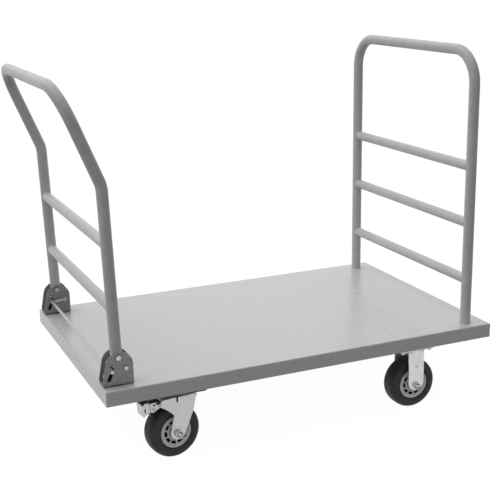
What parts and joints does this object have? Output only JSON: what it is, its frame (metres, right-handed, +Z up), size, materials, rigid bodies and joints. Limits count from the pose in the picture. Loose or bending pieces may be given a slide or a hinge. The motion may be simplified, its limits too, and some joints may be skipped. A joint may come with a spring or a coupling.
{
  "type": "folding platform cart",
  "caption": "Steel platform cart with a fixed tube handle, a fold-down tube handle held by a sprung lock rod, rigid casters and braked swivel casters.",
  "frame": {"origin": "on the floor, at the middle of the whole cart's bounding box seen from above", "axes": "+X from the folding handle to the fixed handle, +Y across the cart, +Z up"},
  "size_m": [1.3054, 0.7625, 1.076],
  "materials": {
    "deck_paint": "light grey powder coat, satin, with a faint brushed mottling",
    "tube_paint": "light grey powder coat, satin",
    "bracket_paint": "dark grey hammered paint",
    "zinc": "bright zinc plate, soft sheen",
    "spring_steel": "zinc-plated spring wire",
    "hub": "moulded grey plastic",
    "tyre": "smooth black rubber"
  },
  "bodies": {
    "deck": {"deck_pan": "deck_paint", "caster_channel_left": "deck_paint", "middle_channel": "deck_paint", "caster_channel_right": "deck_paint", "fixed_handle_tube": "tube_paint", "fixed_rung_lower": "tube_paint", "fixed_rung_middle": "tube_paint", "fixed_rung_upper": "tube_paint", "post_socket_front": "deck_paint", "post_bolt_front": "zinc", "post_socket_back": "deck_paint", "post_bolt_back": "zinc", "hinge_bracket_front": "bracket_paint", "pivot_bolt_front": "zinc", "pivot_nut_front": "zinc", "spring_pin_front": "zinc", "latch_spring_front": "spring_steel", "hinge_bracket_back": "bracket_paint", "pivot_bolt_back": "zinc", "pivot_nut_back": "zinc", "spring_pin_back": "zinc", "latch_spring_back": "spring_steel", "rigid_plate_front": "zinc", "rigid_fork_front": "zinc", "rigid_axle_bolt_front": "zinc", "rigid_axle_nut_front": "zinc", "swivel_plate_front": "zinc", "kingpin_front": "zinc", "rigid_plate_back": "zinc", "rigid_fork_back": "zinc", "rigid_axle_bolt_back": "zinc", "rigid_axle_nut_back": "zinc", "swivel_plate_back": "zinc", "kingpin_back": "zinc"},
    "folding_handle": {"folding_handle_tube": "tube_paint", "folding_rung_lower": "tube_paint", "folding_rung_upper": "tube_paint", "pivot_sleeve_front": "zinc", "pivot_sleeve_back": "zinc"},
    "lock_rod": {"lock_rod": "zinc", "rod_cap_front": "zinc", "rod_cap_back": "zinc"},
    "swivel_front": {"swivel_fork_front": "zinc", "brake_bracket_front": "zinc", "swivel_axle_bolt_front": "zinc", "swivel_axle_nut_front": "zinc"},
    "swivel_wheel_front": {"swivel_hub_front": "hub", "swivel_tyre_front": "tyre"},
    "rigid_wheel_front": {"rigid_hub_front": "hub", "rigid_tyre_front": "tyre"},
    "brake_pedal_front": {"brake_pedal_front": "zinc"},
    "swivel_back": {"swivel_fork_back": "zinc", "brake_bracket_back": "zinc", "swivel_axle_bolt_back": "zinc", "swivel_axle_nut_back": "zinc"},
    "swivel_wheel_back": {"swivel_hub_back": "hub", "swivel_tyre_back": "tyre"},
    "rigid_wheel_back": {"rigid_hub_back": "hub", "rigid_tyre_back": "tyre"},
    "brake_pedal_back": {"brake_pedal_back": "zinc"}
  },
  "joints": [
    {"name": "handle_fold", "type": "hinge", "parent": "deck", "child": "folding_handle", "pos_m": [-0.51924, 0, 0.3176], "axis": [0, 1, 0], "range_deg": [0, 98]},
    {"name": "lock_rod_slide", "type": "slide", "parent": "deck", "child": "lock_rod", "axis": [-0.4202, 0, -0.9074], "range_m": [0, 0.025], "stiffness_N_per_m": 400, "springref_m": -0.03, "deforming": ["latch_spring_front", "latch_spring_back"]},
    {"name": "swivel_turn_front", "type": "hinge", "parent": "deck", "child": "swivel_front", "pos_m": [-0.33574, -0.326, 0.19], "axis": [0, 0, 1], "continuous": true},
    {"name": "swivel_wheel_roll_front", "type": "hinge", "parent": "swivel_front", "child": "swivel_wheel_front", "pos_m": [-0.37145, -0.33057, 0.077], "axis": [-0.1271, 0.9919, 0], "continuous": true},
    {"name": "brake_press_front", "type": "hinge", "parent": "swivel_front", "child": "brake_pedal_front", "pos_m": [-0.43493, -0.33871, 0.156], "axis": [0.1271, -0.9919, 0], "range_deg": [0, 12]},
    {"name": "rigid_wheel_roll_front", "type": "hinge", "parent": "deck", "child": "rigid_wheel_front", "pos_m": [0.39726, -0.326, 0.077], "axis": [0, 1, 0], "continuous": true},
    {"name": "swivel_turn_back", "type": "hinge", "parent": "deck", "child": "swivel_back", "pos_m": [-0.33574, 0.326, 0.19], "axis": [0, 0, 1], "continuous": true},
    {"name": "swivel_wheel_roll_back", "type": "hinge", "parent": "swivel_back", "child": "swivel_wheel_back", "pos_m": [-0.37145, 0.32143, 0.077], "axis": [-0.1271, 0.9919, 0], "continuous": true},
    {"name": "brake_press_back", "type": "hinge", "parent": "swivel_back", "child": "brake_pedal_back", "pos_m": [-0.43493, 0.31329, 0.156], "axis": [0.1271, -0.9919, 0], "range_deg": [0, 12]},
    {"name": "rigid_wheel_roll_back", "type": "hinge", "parent": "deck", "child": "rigid_wheel_back", "pos_m": [0.39726, 0.326, 0.077], "axis": [0, 1, 0], "continuous": true}
  ]
}
